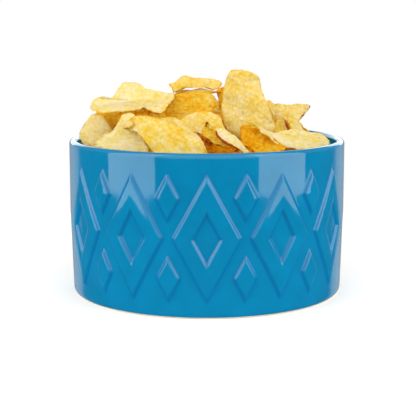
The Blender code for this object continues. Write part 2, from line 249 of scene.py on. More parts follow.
CRISPS_RIGHT = (
    Crisp("standing", (23.4, -26, 118.3), (84, 4, 0),
          ((-8.7, 19.4), (-5.4, 19.9), (-1.2, 19.4), (2.4, 18.6), (5.6, 17.1), (8.1, 15.1),
           (9, 12.6), (9.9, 8.4), (11.3, 4.5), (12.7, 0), (14.7, -5.4), (16.4, -10.4), (18, -15),
           (14, -20), (2, -23), (-6, -20.7), (-9.3, -19), (-11.6, -15.6), (-13.3, -12),
           (-14.8, -3), (-14.1, 2.8), (-13.6, 7.4), (-12.7, 11.4), (-11, 16.5)),
          (-35, 4), tone=0.35, scorched=((8.4, 15.5, 5, 0.55), (-6, -20.7, 4, 0.9)),
          spots=((-8, 14, 0.9, 0.7), (-4, 15, 0.7, 0.5)), grain=80),
    # Painted shade: its dark tone stands for the shadow on the strip of it that is seen.
    Crisp("standing_back", (14, -8, 112), (80, 0, 0),
          ((-7.5, 13), (0, 15), (8, 12), (10, 0), (8, -12), (0, -14), (-6, -8), (-6.5, 0), (-7, 8)),
          (20, 10), tone=1.05),
    Crisp("right_wing", (49.6, 0, 110.8), (70, 8, 0),
          ((-12.4, 7.1), (-5.6, 5.3), (1.9, 4.4), (6.4, 5), (10.5, 4.7), (14.4, 3.8), (14.1, 1.9),
           (9.9, -2.8), (6.8, -6), (1.9, -7.6), (-6.8, -7.6), (-11.8, -1.3)),
          (20, -20), tone=0.35, scorched=((14.2, 3.2, 5, 0.8), (10, -3, 6, 0.8))),
    Crisp("wing_fold", (43, -7, 111), (78, 0, 0),
          ((-5.5, 7.5), (-3, 6.6), (1.2, 1.9), (5, -4.4), (5.5, -8), (1.2, -7.5), (-2.5, -1.2),
           (-5, 3.8)), (-160, 0), tone=0.35, scorched=((-4.8, 6.5, 5, 0.3), (3, -2, 7, 0.4))),
    Crisp("right_back", (50, -6, 101.5), (66, 10, 0),
          ((-12, 3), (-3, 6.5), (5, 6), (8, 2), (10.5, -4), (4, -10), (-10, -9)),
          (-20, -20), tone=0.3),
    Crisp("right_curl", (45.7, -16, 102.5), (70, -10, 0),
          ((-4.5, -4), (-4.5, 2), (-1, 6.2), (2, 5), (4.4, -1), (4, -6), (0, -7)),
          (140, 60), tone=0.5, scorched=((4.4, 0, 6, 1.8),)),
    # Painted shade: a small dark sheet set into the shadow under the standing crisp.
    Crisp("behind_saddle", (38, -24, 101.5), (60, 10, 0),
          ((-7, 1), (0, 3), (7, 0), (6, -5), (-6, -4)), (20, 0), tone=0.8),
    Crisp("right_saddle", (45.9, -42, 98.4), (35, 40, 0),
          ((-19.2, 18.1), (-13.5, 14), (-8.8, 10.6), (-2.1, 7.6), (6.5, 7.4), (13.6, 8.2),
           (19.2, 6.4), (28.6, 4.8), (36, 2.4), (37.4, -3.4), (31, -8), (16.5, -10.2),
           (4.3, -9.5), (-6.5, -6), (-12.4, 1), (-14.3, 10.7)),
          (-12, -15), ((-155, 4, 30, 5),), tone=0.1, scorched=((34, -3, 6, 0.8), (0, -8, 6, 0.7)),
          spots=((29, 0, 1.1, 1),), grain=-15),
    # Painted shade: its dark tone darkens it where it lies in shadow.
    Crisp("right_dark", (28.5, -46, 97.5), (40, 0, 0),
          ((-8.6, 10.3), (-4.5, 12.6), (0.2, 11), (8, 4), (14, -3), (17, -9), (5, -14),
           (-3.3, -12.8), (-6.2, -6.6), (-8.6, 0.3), (-9.2, 5.7)),
          (45, 20), tone=1.02, grain=-35),
    Crisp("edge_on", (13.2, -61.5, 100.6), (50, 0, 0),
          ((-8.2, 5), (-7.8, 7.2), (-5.4, 7.9), (-2.8, 6.8), (0.1, 3.9), (3.3, 1.8), (5.8, -1.4),
           (8.2, -5.8), (10.6, -8.6), (9, -9.6), (6.6, -8), (3.3, -6.1), (0.1, -4.6),
           (-3.2, -2.7), (-5.8, -0.1), (-7.6, 2.8)),
          (0, -15), tone=0.1,
          scorched=((-7, 2.4, 4, 2), (-3.2, -2.7, 4, 2), (0.4, -4.9, 4, 2), (4, -6.6, 4, 2))),
    Crisp("gold_tip", (3.7, -55, 102.3), (60, 0, 0),
          ((-3.5, 8.6), (-2.4, 5.6), (0, 4.4), (3, 2.4), (7, -2.6), (10, -7.6), (8.6, -8.7),
           (6.4, -8), (3.1, -7), (0.2, -5.2), (-2.3, -2.9), (-5.2, -0.7), (-5.9, 1.7),
           (-5.9, 4.5), (-4.9, 6.4)),
          (10, -10), tone=0.85, scorched=((-3.6, 8.4, 4, 1.6), (3.1, -7, 5, 0.8)),
          spots=((-3.8, 6.6, 1.5, 1),)),
    # Painted shade: a dark sheet whose tone stands for the deep shade low between the front crisps.
    Crisp("brown_low", (9, -53, 91), (50, 0, 0),
          ((-18, 11), (-16.6, 14.5), (-10, 12.5), (0, 9), (12, 6), (20, -3), (12, -12),
           (-12, -12), (-18, 2)), (10, 10), tone=1.4),
)

# Crisps that stand behind the front ones and face the sides
CRISPS_BETWEEN = (
    Crisp("facing_left", (-50, 0, 106), (62, -86, 0),
          ((-15, -2), (-13, 7), (-5, 12), (5, 11.5), (13, 8), (16, 0), (12, -9), (2, -12),
           (-10, -9)), (-30, 20), tone=0.4),
    Crisp("facing_right", (30, 6, 111), (68, 92, 0),
          ((-16, 0), (-12, 9), (-4, 13.5), (6, 12.5), (14, 6), (16, -3), (10, -11), (-2, -13),
           (-12, -9)), (25, -20), tone=0.35),
    Crisp("middle_prop", (4, -4, 107), (75, 88, 0),
          ((-14, 2), (-9, 9), (0, 11.5), (9, 9), (14, 0), (9, -9), (-3, -11), (-12, -7)),
          (-20, 20), tone=0.6),
)

# Rings of crisps that lean outwards over the far side, in mm and degrees. Each crisp
# differs from its ring's by up to the spreads.
Ring = namedtuple("Ring", "count radius height first last lean size")

LEANING_RINGS = (
    Ring(7, 61, 94, 4, 176, 58, (46, 35)),
    Ring(4, 38, 102, 22, 160, 40, (50, 37)),
    Ring(2, 15, 106, 60, 150, 18, (46, 38)),
)
LEANING_OUTLINE = (1.0, 0.9, 1.1, 0.95, 1.0, 1.05, 0.85, 1.05)
LEANING_BENDS = (-15, -25)
LEANING_TONE = 0.3
BEND_SPREAD = 35
LEAN_SPREAD = 14
TURN_SPREAD = 18
SPIN_SPREAD = 35
HEIGHT_SPREAD = 2
SIZE_SPREAD = 0.15
TONE_SPREAD = 0.2
GOLDEN_STEP = 0.618

# Loose crisps under the others, in mm and degrees where no unit is given
SPARE_KINDS = 7
FIRST_SPARE = 60
SPARE_CORNERS = 8
SPARE_SIZE = (38, 31)
SPARE_SPREAD = (7, 5)
SPARE_UNEVENNESS = 0.12
SPARE_BENDS = (30, 35)
SPARE_TONE = 0.5
STREWN_DENSITY = 4000.0
STREWN_SIZES = (0.8, 1.1)
STREWING = {"Spacing": 15 * MM, "Tilt": math.radians(20), "Lift": 4 * MM, "Seed": 3}

# The card under the bowl
CARD_RADIUS = 0.3
CARD_DROP = 0.05 * MM
CARD_STEPS = 96
CARD_GLOW = 0.1
TOOTH_SCALE = 400.0

# The world as the bowl mirrors it, by the way looked: Y is how far that points to the
# back, and Z how far up. The ground is dark in front, turns pale past the bowl's sides,
# dims again behind it, and gives way to the sky just above the horizon.
DARK_BELOW = 0.08
PALE_ASIDE = 0.7
PALE_BEHIND = 0.42
PALE_ABOVE = 0.36
ASIDE_STEP = (0.58, 0.73)
BEHIND_STEP = (0.8, 0.97)
SKYLINE = (0.0, 0.15)

# Panels of light: name, place, target, size, and the brightness that a mirror shows
LIGHTS = (
    ("left_softbox", (-0.43, -0.25, 0.5), (0, 0, 0.5), (0.38, 1.0), 2.6),
    ("right_softbox", (0.43, -0.25, 0.5), (0, 0, 0.5), (0.38, 1.0), 2.6),
    ("top_softbox", (0, -0.35, 0.8), (0, 0, 0.1), (1.3, 1.0), 0.58),
    ("front_softbox", (0, -1.1, 0.58), (0, 0, 0.1), (2.2, 1.1), 0.85),
    ("backdrop", (0, 0.8, 0.35), (0, 0, 0.15), (1.3, 0.4), 2.2),
)

# The camera
CAMERA_PLACE = (0.0007, -0.7492, 0.1754)
CAMERA_TILT = math.radians(9.4678)
CAMERA_LENS = 104.79
CAMERA_SENSOR = 36.0


# Nodes


def linear(colour):
    """A colour as #rrggbb in sRGB, turned into the linear values that a shader takes."""
    channels = [int(colour[start:start + 2], 16) / 255 for start in (1, 3, 5)]
    return [c / 12.92 if c <= 0.04045 else ((c + 0.055) / 1.055) ** 2.4 for c in channels] + [1.0]


def socket_of(sockets, key):
    """A node's socket by its place, or by its name among those in use."""
    if isinstance(key, int):
        return sockets[key]
    return next(socket for socket in sockets if socket.name == key and socket.enabled)


def add(tree, kind, settings=None, inputs=None):
    """Adds a node. Its inputs are values, other nodes for their first output, or sockets."""
    node = tree.nodes.new(kind)
    for name, value in (settings or {}).items():
        setattr(node, name, value)
    for key, value in (inputs or {}).items():
        socket = socket_of(node.inputs, key)
        if isinstance(value, bpy.types.Node):
            value = next(output for output in value.outputs if output.enabled)
        if isinstance(value, bpy.types.NodeSocket):
            tree.links.new(value, socket)
        else:
            socket.default_value = value
    return node


def maths(tree, operation, *values):
    """A Math node on its values in order."""
    return add(tree, "ShaderNodeMath", {"operation": operation}, dict(enumerate(values)))


def vector_maths(tree, operation, inputs):
    """A Vector Math node on its inputs."""
    return add(tree, "ShaderNodeVectorMath", {"operation": operation}, inputs)


def combined(tree, x=0.0, y=0.0, z=0.0):
    return add(tree, "ShaderNodeCombineXYZ", inputs={"X": x, "Y": y, "Z": z})


def shifted(tree, geometry, offset):
    """The geometry with its points moved by the offset."""
    return add(tree, "GeometryNodeSetPosition", inputs={"Geometry": geometry, "Offset": offset})


def smoothstep(tree, value, low, high, start=0.0, end=1.0):
    """Goes smoothly from start, where the value is low, to end, where it is high."""
    return add(tree, "ShaderNodeMapRange", {"interpolation_type": "SMOOTHSTEP"},
               {"Value": value, "From Min": low, "From Max": high, "To Min": start, "To Max": end})


def noise(tree, place, scale, detail, roughness=0.5):
    """A noise pattern over a place."""
    return add(tree, "ShaderNodeTexNoise", inputs={
        "Vector": place, "Scale": scale, "Detail": detail, "Roughness": roughness})


def bubbles(tree, place, scale, smoothness):
    """A pattern of round cells, each with its distance from the centre and its colour."""
    return add(tree, "ShaderNodeTexVoronoi", {"feature": "SMOOTH_F1"},
               {"Vector": place, "Scale": scale, "Smoothness": smoothness})


def attribute(tree, name, output="Fac"):
    """A mesh attribute, as a material reads it."""
    return add(tree, "ShaderNodeAttribute", {"attribute_name": name}).outputs[output]


def stored(tree, name, kind):
    """A mesh attribute, as a Geometry Nodes tree reads it."""
    return add(tree, "GeometryNodeInputNamedAttribute", {"data_type": kind}, {"Name": name})


def store(tree, geometry, name, kind, value):
    """Keeps a value on the points as a mesh attribute."""
    return add(tree, "GeometryNodeStoreNamedAttribute", {"data_type": kind, "domain": "POINT"},
               {"Geometry": geometry, "Name": name, "Value": value})


def ramp(tree, factor, stops):
    """A colour ramp from (place, colour) stops."""
    node = add(tree, "ShaderNodeValToRGB", inputs={"Fac": factor})
    elements = node.color_ramp.elements
    while len(elements) < len(stops):
        elements.new(1.0)
    for element, (place, colour) in zip(elements, stops):
        element.position = place
        element.color = linear(colour)
    return node


def mixed(tree, factor, first, second, blend="MIX"):
    """Two colours mixed by a factor."""
    return add(tree, "ShaderNodeMix", {"data_type": "RGBA", "blend_type": blend},
               {"Factor": factor, "A": first, "B": second})


def bump(tree, height, strength, distance):
    return add(tree, "ShaderNodeBump",
               inputs={"Height": height, "Strength": strength, "Distance": distance})


def new_material(name, build):
    """A material whose surface is the shader that build makes."""
    material = bpy.data.materials.new(name)
    material.use_nodes = True
    tree = material.node_tree
    tree.nodes.clear()
    add(tree, "ShaderNodeOutputMaterial", inputs={"Surface": build(tree)})
    return material


def new_tree(name, inputs):
    """A Geometry Nodes tree with named inputs, and the sockets that hand them in."""
    tree = bpy.data.node_groups.new(name, "GeometryNodeTree")
    tree.interface.new_socket(name="Geometry", in_out="INPUT", socket_type="NodeSocketGeometry")
    tree.interface.new_socket(name="Geometry", in_out="OUTPUT", socket_type="NodeSocketGeometry")
    for label, kind in inputs.items():
        tree.interface.new_socket(name=label, in_out="INPUT", socket_type=f"NodeSocket{kind}")
    return tree, add(tree, "NodeGroupInput").outputs


def end_tree(tree, geometry, *coats):
    """Realizes the instances, shades smooth and lays on coats, each a material and its faces."""
    real = add(tree, "GeometryNodeRealizeInstances", inputs={"Geometry": geometry})
    painted = add(tree, "GeometryNodeSetShadeSmooth",
                  inputs={"Geometry": real, "Shade Smooth": True})
    for material, faces in coats:
        painted = add(tree, "GeometryNodeSetMaterial", inputs={
            "Geometry": painted, "Selection": faces, "Material": material})
    add(tree, "NodeGroupOutput", inputs={"Geometry": painted})


def keep_shape(obj):
    """Makes the object's evaluated mesh its own and drops the modifiers."""
    graph = bpy.context.evaluated_depsgraph_get()
    mesh = bpy.data.meshes.new_from_object(obj.evaluated_get(graph), depsgraph=graph)
    obj.modifiers.clear()
    obj.data = mesh
    mesh.name = obj.name
    return obj


def grow(obj, tree, values):
    """Runs the tree on an object and keeps the result as its plain mesh."""
    modifier = obj.modifiers.new(tree.name, "NODES")
    modifier.node_group = tree
    for item in tree.interface.items_tree:
        if item.in_out == "INPUT" and item.name in values:
            modifier[item.identifier] = values[item.name]
    return keep_shape(obj)


def new_object(name, data):
    obj = bpy.data.objects.new(name, data)
    bpy.context.scene.collection.objects.link(obj)
    return obj


# Materials


def speckle(tree, scale, detail):
    """A noise pattern through the object."""
    return noise(tree, add(tree, "ShaderNodeTexCoord").outputs["Object"], scale, detail)


def blue_glaze(tree):
    """Glossy stoneware glaze, fired thin on edges, where it is paler, and pooled beside them."""
    body = ramp(tree, speckle(tree, MOTTLE_SCALE, 3.0), ((0.3, "#007099"), (0.7, "#0077a2")))
    edge = attribute(tree, "edge")
    pooled = smoothstep(tree, edge, POOL_START, POOL_PEAK)
    leaves = smoothstep(tree, edge, POOL_PEAK, POOL_END, 1.0, 0.0)
    pool = maths(tree, "MULTIPLY", pooled, leaves)
    orange_peel = speckle(tree, PEEL_SCALE, 1.0)
    return add(tree, "ShaderNodeBsdfPrincipled", inputs={
        "Base Color": mixed(tree, pool, body, linear("#006a9e")), "Roughness": 0.06, "IOR": 1.5,
        "Normal": bump(tree, orange_peel, 0.05, PEEL_DEPTH)})


def bare_stoneware(tree):
    """The unglazed foot: cream clay, matt and sandy to the eye."""
    sand = speckle(tree, SAND_SCALE, 2.0)
    body = ramp(tree, sand, ((0.35, "#e2d4c0"), (0.65, "#f0e6d6")))
    return add(tree, "ShaderNodeBsdfPrincipled", inputs={
        "Base Color": body, "Roughness": 0.85, "Normal": bump(tree, sand, 0.3, SAND_DEPTH)})


def fried_potato(tree):
    """A thin fried slice: pale gold mottled with darker gold, with painted shade that darkens its
    hollows and crisps in shadow, oily, and letting light through.
    """
    flat = attribute(tree, "flat", "Vector")
    clouds = noise(tree, flat, 1 / CLOUD_SIZE, 2.0)
    grains = noise(tree, flat, 1 / GRAIN_SIZE, 2.0, roughness=0.6)
    pits = bubbles(tree, flat, 1 / BUBBLE_SIZE, 0.4).outputs["Distance"]
    drawn_out = vector_maths(tree, "MULTIPLY", {0: flat, 1: (1 / STREAK_STRETCH, 1, 1)})
    streaks = noise(tree, drawn_out, 1 / STREAK_SIZE, 1.0)
    shade = BASE_SHADE
    # The tone's share also carries painted shade on crisps set in shadow, and the lift's share
    # paints shade into hollows: sunk places turn darker gold.
    darkening_and_painted_shade = ((clouds, 0.5), (grains, 0.6), (pits, 0.3), (streaks, 0.26),
                 (attribute(tree, "tone"), 0.5), (attribute(tree, "lift"), -0.06))
    for pattern, share in darkening_and_painted_shade:
        shade = maths(tree, "MULTIPLY_ADD", pattern, share, shade)
    edge = smoothstep(tree, attribute(tree, "rim"), RIM_START, 1.0, 0.0, RIM_DARKENING)
    fried = ramp(tree, maths(tree, "ADD", shade, edge), FRIED_COLOURS)
    # The scorch mask browns scorched edges and spots, and darkens the spots of painted shade the
    # same way.
    patchy = maths(tree, "MULTIPLY_ADD", grains, SCORCH_PATCHINESS, attribute(tree, "scorch"))
    scorched = smoothstep(tree, patchy, SCORCH_START, SCORCH_FULL)
    colour = mixed(tree, scorched, fried, linear(SCORCH_AND_SHADE_COLOUR))
    pitted = maths(tree, "MULTIPLY_ADD", pits, -0.6, grains)
    wrinkled = maths(tree, "MULTIPLY_ADD", streaks, 0.8, pitted)
    relief = bump(tree, wrinkled, 1.0, SKIN_DEPTH)
    skin = add(tree, "ShaderNodeBsdfPrincipled", inputs={
        "Base Color": colour, "Roughness": 0.5, "IOR": 1.3, "Specular IOR Level": 0.1,
        "Normal": relief})
    glow = mixed(tree, 1.0, colour, linear(LIGHT_THROUGH_COLOUR), "MULTIPLY")
    through = add(tree, "ShaderNodeBsdfTranslucent", inputs={"Color": glow, "Normal": relief})
    return add(tree, "ShaderNodeMixShader", inputs={0: LIGHT_THROUGH, 1: skin, 2: through})


def core_potato(tree):
    """Broken crisps deep in the heap: rough and dull, and a darker gold than the slices as painted
    shade of the heap's depths.
    """
    body = ramp(tree, speckle(tree, CRUMB_SCALE, 4.0), ((0.3, "#b0701c"), (0.7, "#dda344")))
    return add(tree, "ShaderNodeBsdfPrincipled", inputs={"Base Color": body, "Roughness": 0.8})


def white_card(tree):
    """A matt white card for the bowl to stand on."""
    body = ramp(tree, speckle(tree, TOOTH_SCALE, 2.0), ((0.3, "#faf7f3"), (0.7, "#fffcf8")))
    return add(tree, "ShaderNodeBsdfPrincipled", inputs={
        "Base Color": body, "Roughness": 0.9,
        "Emission Color": linear(WHITE), "Emission Strength": CARD_GLOW})


# The bowl


def arc(centre, radius, start, end, steps):
    """Points of a round corner in the profile's plane, from start to end in degrees."""
    points = []
    for step in range(steps + 1):
        angle = math.radians(start + (end - start) * step / steps)
        points.append((centre[0] + radius * math.cos(angle), centre[1] + radius * math.sin(angle)))
    return points


def wall_radius(height):
    """The outer wall's radius: straight above TAPER_TOP, drawn in a little towards the foot."""
    down = max(0.0, 1 - height / TAPER_TOP)
    return BOWL_RADIUS - (BOWL_RADIUS - FOOT_RADIUS) * down


def bowl_profile():
    """Floor, inner corner, lip, outer wall in even rows, foot corner, foot ring and recess."""
    lip = WALL / 2
    foot_side = wall_radius(FOOT_CORNER)
    profile = [(0, FLOOR_TOP), (INNER_RADIUS / 2, FLOOR_TOP)]
    profile += arc((INNER_RADIUS - INNER_CORNER, FLOOR_TOP + INNER_CORNER), INNER_CORNER,
                   -90, 0, INNER_STEPS)
    profile += [(INNER_RADIUS, BOWL_HEIGHT * level) for level in INNER_LEVELS]
    profile += arc((BOWL_RADIUS - lip, BOWL_HEIGHT - lip), lip, 180, 0, LIP_STEPS)
    rows_up = math.floor((BOWL_HEIGHT - lip - FRIEZE_MIDDLE) / ROW_HEIGHT)
    rows_down = math.floor((FRIEZE_MIDDLE - FOOT_CORNER) / ROW_HEIGHT)
    for row in range(rows_up - 1, -rows_down, -1):
        height = FRIEZE_MIDDLE + row * ROW_HEIGHT
        profile.append((wall_radius(height), height))
    profile += arc((foot_side - FOOT_CORNER, FOOT_CORNER), FOOT_CORNER, 0, -90, FOOT_STEPS)
    recess_radius = FOOT_RING_INNER - FOOT_RECESS
    return profile + [(FOOT_RING_INNER, 0), (recess_radius, FOOT_RECESS), (0, FOOT_RECESS)]


def turned(name, profile, steps):
    """A shell turned about the Z axis; the profile runs down its outer side."""
    mesh = bpy.data.meshes.new(name)
    points = [(radius, 0, height) for radius, height in profile]
    mesh.from_pydata(points, [(index, index + 1) for index in range(len(points) - 1)], [])
    obj = new_object(name, mesh)
    screw = obj.modifiers.new("turn", "SCREW")
    screw.steps = screw.render_steps = steps
    screw.use_merge_vertices = True
    screw.merge_threshold = TURNED_MERGE
    screw.use_smooth_shade = True
    return obj


def lozenge_depth(tree, across, up, width, height):
    """How far inside a lozenge's side a place lies, from its distances to the centre."""
    centre_to_side = width * height / 2 / math.hypot(width, height)
    reach = maths(tree, "ADD", maths(tree, "DIVIDE", across, width / 2),
                  maths(tree, "DIVIDE", up, height / 2))
    return maths(tree, "MULTIPLY_ADD", reach, -centre_to_side, centre_to_side)


def only_before(tree, depth, aside, end):
    """The depth as it is up to an angle aside from front or back, and far outside past it."""
    past = maths(tree, "GREATER_THAN", aside, end)
    return maths(tree, "MULTIPLY_ADD", past, -BOWL_RADIUS, depth)


def frieze_depth(tree, place, middle, half_band):
    """How far inside a lozenge a place lies: open ones, with small solid ones between."""
    x, y, z = place.outputs
    azimuth = maths(tree, "ARCTAN2", y, x)
    turn = maths(tree, "PINGPONG", azimuth, PITCH / 2)
    aside = maths(tree, "PINGPONG", maths(tree, "ADD", azimuth, math.pi / 2), math.pi / 2)
    across = maths(tree, "MULTIPLY", turn, BOWL_RADIUS)
    beside = maths(tree, "MULTIPLY_ADD", across, -1.0, BOWL_RADIUS * PITCH / 2)
    up = maths(tree, "ABSOLUTE", maths(tree, "SUBTRACT", z, middle))
    stud_level = (LOZENGE_HEIGHT - STUD_HEIGHT) / 2
    from_stud = maths(tree, "ABSOLUTE", maths(tree, "SUBTRACT", up, stud_level))
    whole = lozenge_depth(tree, across, up, LOZENGE_WIDTH, LOZENGE_HEIGHT)
    off_line = maths(tree, "ABSOLUTE", maths(tree, "SUBTRACT", whole, half_band))
    in_band = only_before(tree, maths(tree, "SUBTRACT", half_band, off_line), aside, OPEN_ONES_END)
    in_stud = lozenge_depth(tree, beside, from_stud, STUD_WIDTH, STUD_HEIGHT)
    in_stud = only_before(tree, in_stud, aside, SOLID_ONES_END)
    return maths(tree, "SMOOTH_MAX", in_band, in_stud, RELIEF_BLEND)


def frieze_tree():
    """Raises the frieze from the wall's front and back and glazes all but the foot."""
    kinds = {**dict.fromkeys(FRIEZE, "Float"), "Glaze": "Material", "Clay": "Material"}
    tree, given = new_tree("raised_frieze", kinds)
    place = add(tree, "ShaderNodeSeparateXYZ", inputs={0: add(tree, "GeometryNodeInputPosition")})
    x, y, z = place.outputs
    half_band = maths(tree, "MULTIPLY", given["Band"], 0.5)
    depth = frieze_depth(tree, place, given["Middle"], half_band)
    foot = maths(tree, "MULTIPLY", given["Edge Width"], -0.5)
    head = maths(tree, "MULTIPLY", given["Edge Width"], 0.5)
    raised = smoothstep(tree, depth, foot, head, 0.0, given["Relief"])
    crowned = smoothstep(tree, depth, 0.0, half_band, 0.0, given["Crown"])
    level = combined(tree, x, y)
    out = vector_maths(tree, "NORMALIZE", {0: level})
    radius = vector_maths(tree, "LENGTH", {0: level})
    on_wall = maths(tree, "GREATER_THAN", radius.outputs["Value"], BOWL_RADIUS - WALL / 2)
    lift = maths(tree, "MULTIPLY", maths(tree, "ADD", raised, crowned), on_wall)
    offset = vector_maths(tree, "SCALE", {0: out, "Scale": lift})
    marked = store(tree, given["Geometry"], "edge", "FLOAT", maths(tree, "DIVIDE", depth, MM))
    shaped = shifted(tree, marked, offset)
    split = add(tree, "GeometryNodeTriangulate", {"quad_method": "SHORTEST_DIAGONAL"},
                {"Mesh": shaped})
    bare = maths(tree, "LESS_THAN", z, BARE_FOOT_HEIGHT)
    end_tree(tree, split, (given["Glaze"], True), (given["Clay"], bare))
    return tree


def build_bowl():
    bowl = turned("bowl_glazed", bowl_profile(), TURNED_STEPS)
    grow(bowl, frieze_tree(), {
        **FRIEZE, "Glaze": new_material("blue_stoneware_glaze", blue_glaze),
        "Clay": new_material("bare_stoneware", bare_stoneware),
    })
    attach(bowl, BODY)
    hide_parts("bowl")


# Crisps


def rounded_outline(corners):
    """Points along a smooth closed curve through the corners, and how far round each is, 0 to 1."""
    corners = np.asarray(corners, float)
    before, after, beyond = (np.roll(corners, -step, axis=0) for step in (-1, 1, 2))
    curve = []
    for part in np.arange(0, 1, 1 / CURVE_STEPS):
        bow = (2 * before - 5 * corners + 4 * after - beyond) * part**2
        sway = (3 * (corners - after) + beyond - before) * part**3
        curve.append(corners + 0.5 * ((after - before) * part + bow + sway))
    curve = np.stack(curve, axis=1).reshape(-1, 2)
    curve = np.concatenate((curve, curve[:1]))
    length = np.concatenate(([0], np.cumsum(np.hypot(*np.diff(curve, axis=0).T))))
    return curve, length / length[-1]


def along_arc(distance, degrees):
    """Forward and up of points on an arc that turns by degrees over BEND_SPAN, and their tilt."""
    radius = BEND_SPAN / math.radians(degrees or NEARLY_FLAT)
    tilt = distance / radius
    return radius * np.sin(tilt), radius * (1 - np.cos(tilt)), tilt


def folded(points, fold):
    """The points with what lies past a line turned up about it, over a rounded run."""
    angle, offset, turn, run = fold
    along = np.array((math.cos(math.radians(angle)), math.sin(math.radians(angle)), 0))
    distance = points @ along - offset
    on_arc = np.clip(distance, 0, run)
    tilt = math.radians(turn) * on_arc / run
    radius = run / math.radians(turn)
    straight = distance - on_arc
    height = points[:, 2]
    forward = radius * np.sin(tilt) + straight * np.cos(tilt) - height * np.sin(tilt)
    rise = radius * (1 - np.cos(tilt)) + straight * np.sin(tilt) + height * np.cos(tilt)
    moved = points + np.outer(forward - distance, along)
    moved[:, 2] = rise
    return moved


def turn_of(crisp):
    lean, heading, tilt = (Matrix.Rotation(math.radians(angle), 3, axis)
                           for angle, axis in zip(crisp.turn, "XZY"))
    return heading @ lean @ tilt


def kept_in_bowl(points):
    """The points drawn in where they would pass through the bowl's wall, in mm."""
    reach = np.hypot(points[:, 0], points[:, 1])
    room = HEAP_RADIUS + LIP_FLARE * np.maximum(0, points[:, 2] - LIP_LEVEL)
    share = np.minimum(1, room / np.maximum(reach, 1e-6))
    return points * np.stack((share, share, np.ones_like(share)), axis=1)


def browning_and_shade(right, high, marks, strength):
    """How browned each place is, or for spots that stand for shade how darkened with painted shade:
    the most that any mark does there, fading with distance.
    """
    scorch = np.zeros(len(right))
    for mark_across, mark_up, radius, depth in marks:
        gap = np.hypot(right - mark_across, high - mark_up)
        scorch = np.maximum(scorch, depth * strength * np.clip(MARK_REACH - gap / radius, 0, 1))
    return scorch


def crisp_sheet(crisp, number, square):
    """A crisp's points in mm and what its material reads, from a square grid's points."""
    a, b = square[:, 0], square[:, 1]
    across, up = a * np.sqrt(1 - b * b / 2), b * np.sqrt(1 - a * a / 2)
    reach, angle = np.hypot(across, up), np.arctan2(up, across)
    curve, share = rounded_outline(crisp.outline)
    place = (angle / (2 * math.pi)) % 1
    ragged = 1 + RAGGED * sum(np.sin(waves * angle + step * number)
                              for step, waves in enumerate(RAGGED_WAVES, 1))
    curve_across, curve_up = (np.interp(place, share, curve[:, axis]) for axis in (0, 1))
    right, high = reach * ragged * curve_across, reach * ragged * curve_up
    wave = EDGE_WAVE * reach**3 * np.sin(EDGE_WAVES * angle + number)
    points = np.stack((right, high, wave), axis=1)
    for fold in crisp.folds:
        points = folded(points, fold)
    forward, rise, tilt = along_arc(points[:, 0], crisp.bends[0])
    side, lift, _ = along_arc(points[:, 1], crisp.bends[1])
    lift = lift + points[:, 2]
    points = np.stack((forward - np.sin(tilt) * lift, side, rise + np.cos(tilt) * lift), axis=1)
    points = points @ np.array(turn_of(crisp)).T + np.array(crisp.centre)
    to_rim = ragged * (1 - reach) * np.hypot(curve_across, curve_up)
    near_rim = np.clip(1 - to_rim / RIM_BAND, 0, 1)
    # Some spots brown the slice, and others are painted shade where a crisp lies in shadow.
    scorch = np.maximum(browning_and_shade(right, high, crisp.scorched, near_rim),
                        browning_and_shade(right, high, crisp.spots, 1))
    grain = Matrix.Rotation(math.radians(-crisp.grain), 3, "Z")
    flat = np.stack((right, high, np.full(len(points), PATTERN_GAP * number)), axis=1)
    return {"place": points, "flat": flat @ np.array(grain).T * MM, "rim": reach,
            "tone": np.full(len(points), crisp.tone), "scorch": scorch}


def square_grid(cells):
    """A square's mesh from -1 to 1."""
    square = bmesh.new()
    bmesh.ops.create_grid(square, x_segments=cells, y_segments=cells, size=1)
    grid = bpy.data.meshes.new("square")
    square.to_mesh(grid)
    square.free()
    return grid


def sheets(name, crisps, cells, first_number=0, in_bowl=True):
    """One mesh of open sheets, a sheet for each crisp."""
    grid = square_grid(cells)
    corners = np.empty(len(grid.vertices) * 3)
    grid.vertices.foreach_get("co", corners)
    corners = corners.reshape(-1, 3)
    stack = bmesh.new()
    for _ in crisps:
        stack.from_mesh(grid)
    mesh = bpy.data.meshes.new(name)
    stack.to_mesh(mesh)
    stack.free()
    bpy.data.meshes.remove(grid)
    made = [crisp_sheet(crisp, first_number + index, corners) for index, crisp in enumerate(crisps)]
    place = np.concatenate([sheet["place"] for sheet in made])
    if in_bowl:
        place = kept_in_bowl(place)
    mesh.vertices.foreach_set("co", (place * MM).ravel())
    flat = mesh.attributes.new("flat", "FLOAT_VECTOR", "POINT")
    flat.data.foreach_set("vector", np.concatenate([sheet["flat"] for sheet in made]).ravel())
    for key in ("rim", "tone", "scorch"):
        values = mesh.attributes.new(key, "FLOAT", "POINT")
        values.data.foreach_set("value", np.concatenate([sheet[key] for sheet in made]))
    mesh.update()
    return new_object(name, mesh)


def ruffled(tree, given, flat, rim):
    """How far waves of three sizes lift a slice, the more the nearer to its loose rim."""
    loose = smoothstep(tree, rim, 0.0, 1.0, STIFF_MIDDLE)
    lift = 0.0
    for label, stretch in (("Ruffle", 1), ("Pucker", 1), ("Wrinkle", WRINKLE_STRETCH)):
        finer = maths(tree, "DIVIDE", 1.0, given[f"{label} Width"])
        place = vector_maths(tree, "MULTIPLY", {0: flat, 1: (1 / stretch, 1, 1)})
        waves = maths(tree, "SUBTRACT", noise(tree, place, finer, 1.0), 0.5)
        waves = maths(tree, "MULTIPLY", waves, given[f"{label} Height"])
        lift = maths(tree, "MULTIPLY_ADD", waves, loose, lift)
    return lift


